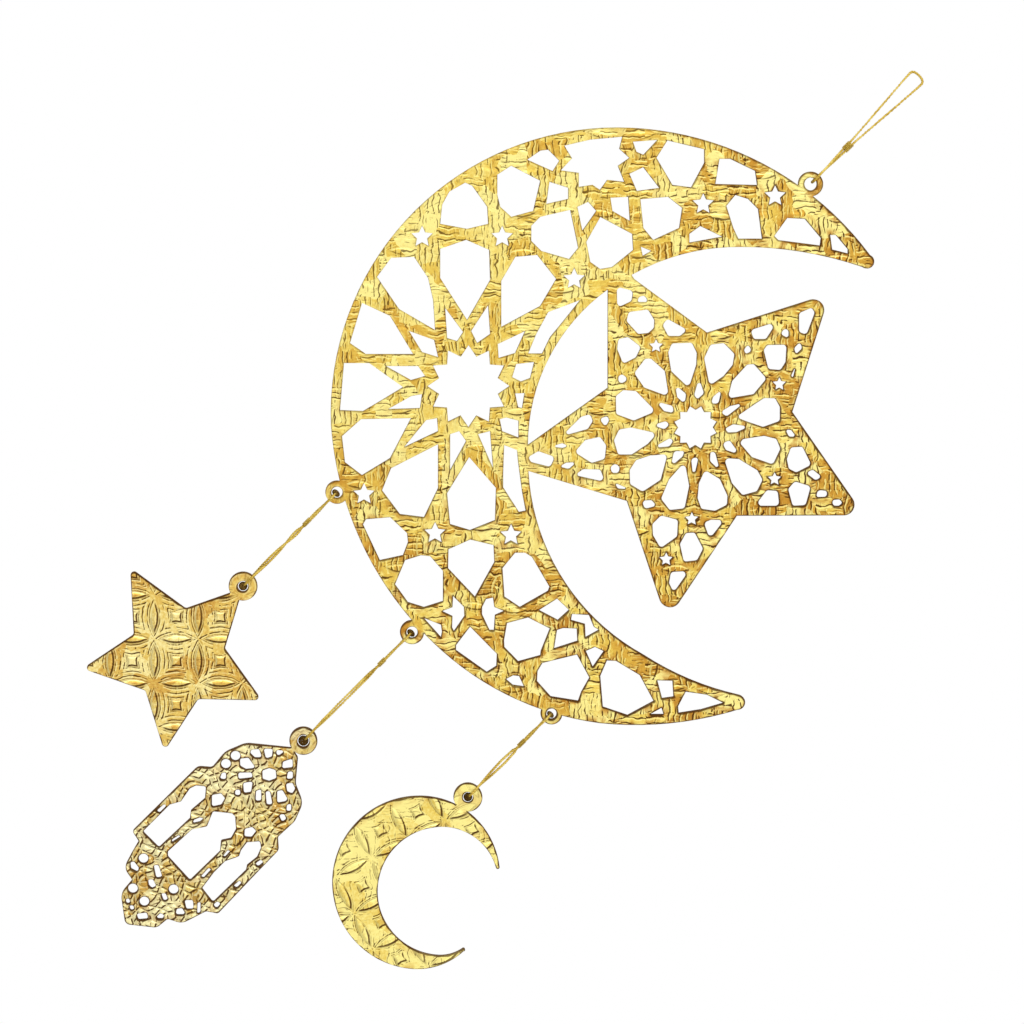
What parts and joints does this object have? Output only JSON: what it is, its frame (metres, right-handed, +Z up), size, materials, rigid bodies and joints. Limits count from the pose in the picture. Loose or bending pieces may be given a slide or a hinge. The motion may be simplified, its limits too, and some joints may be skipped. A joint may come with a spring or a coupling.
{
  "type": "eid crescent ornament",
  "caption": "Hanging crescent ornament of pierced gold-faced board with a star in its mouth, and star, lantern and crescent pendants that swing on gold thread.",
  "frame": {"origin": "inside top of the hanging loop, where a hook or nail bears", "axes": "+Z up as it hangs, -Y out of the front face, +X to the right seen from the front"},
  "size_m": [0.1459, 0.0044, 0.2902],
  "materials": {
    "board": "scorched cut edge",
    "gold_foil": "gold metallised film, grained and embossed",
    "gold_thread": "twisted metallic thread"
  },
  "bodies": {
    "hanger": {"hang_thread": "gold_thread", "hang_knot": "gold_thread"},
    "crescent": {"crescent_core": "board", "crescent_front_foil": "gold_foil", "crescent_back_foil": "gold_foil"},
    "star_cord": {"star_thread": "gold_thread", "star_knot": "gold_thread"},
    "star_pendant": {"star_pendant_core": "board", "star_pendant_front_foil": "gold_foil", "star_pendant_back_foil": "gold_foil"},
    "lantern_cord": {"lantern_thread": "gold_thread", "lantern_knot": "gold_thread"},
    "lantern_pendant": {"lantern_pendant_core": "board", "lantern_pendant_front_foil": "gold_foil", "lantern_pendant_back_foil": "gold_foil"},
    "moon_cord": {"moon_thread": "gold_thread", "moon_knot": "gold_thread"},
    "moon_pendant": {"moon_pendant_core": "board", "moon_pendant_front_foil": "gold_foil", "moon_pendant_back_foil": "gold_foil"}
  },
  "joints": [
    {"name": "crescent_swing", "type": "hinge", "parent": "hanger", "child": "crescent", "pos_m": [0, 0, -0.03742], "axis": [0, 1, 0], "range_deg": [-15, 15]},
    {"name": "star_cord_swing", "type": "hinge", "parent": "crescent", "child": "star_cord", "pos_m": [-0.02924, 0, -0.17842], "axis": [1, 0, 0], "range_deg": [-10, 10]},
    {"name": "star_pendant_swing", "type": "hinge", "parent": "star_cord", "child": "star_pendant", "pos_m": [-0.02924, 0, -0.20901], "axis": [0, 1, 0], "range_deg": [-8, 8]},
    {"name": "lantern_cord_swing", "type": "hinge", "parent": "crescent", "child": "lantern_cord", "pos_m": [0.00877, 0, -0.18991], "axis": [1, 0, 0], "range_deg": [-10, 10]},
    {"name": "lantern_pendant_swing", "type": "hinge", "parent": "lantern_cord", "child": "lantern_pendant", "pos_m": [0.00877, 0, -0.22554], "axis": [0, 1, 0], "range_deg": [-8, 8]},
    {"name": "moon_cord_swing", "type": "hinge", "parent": "crescent", "child": "moon_cord", "pos_m": [0.04791, 0, -0.17959], "axis": [1, 0, 0], "range_deg": [-10, 10]},
    {"name": "moon_pendant_swing", "type": "hinge", "parent": "moon_cord", "child": "moon_pendant", "pos_m": [0.04791, 0, -0.20668], "axis": [0, 1, 0], "range_deg": [-8, 8]}
  ]
}
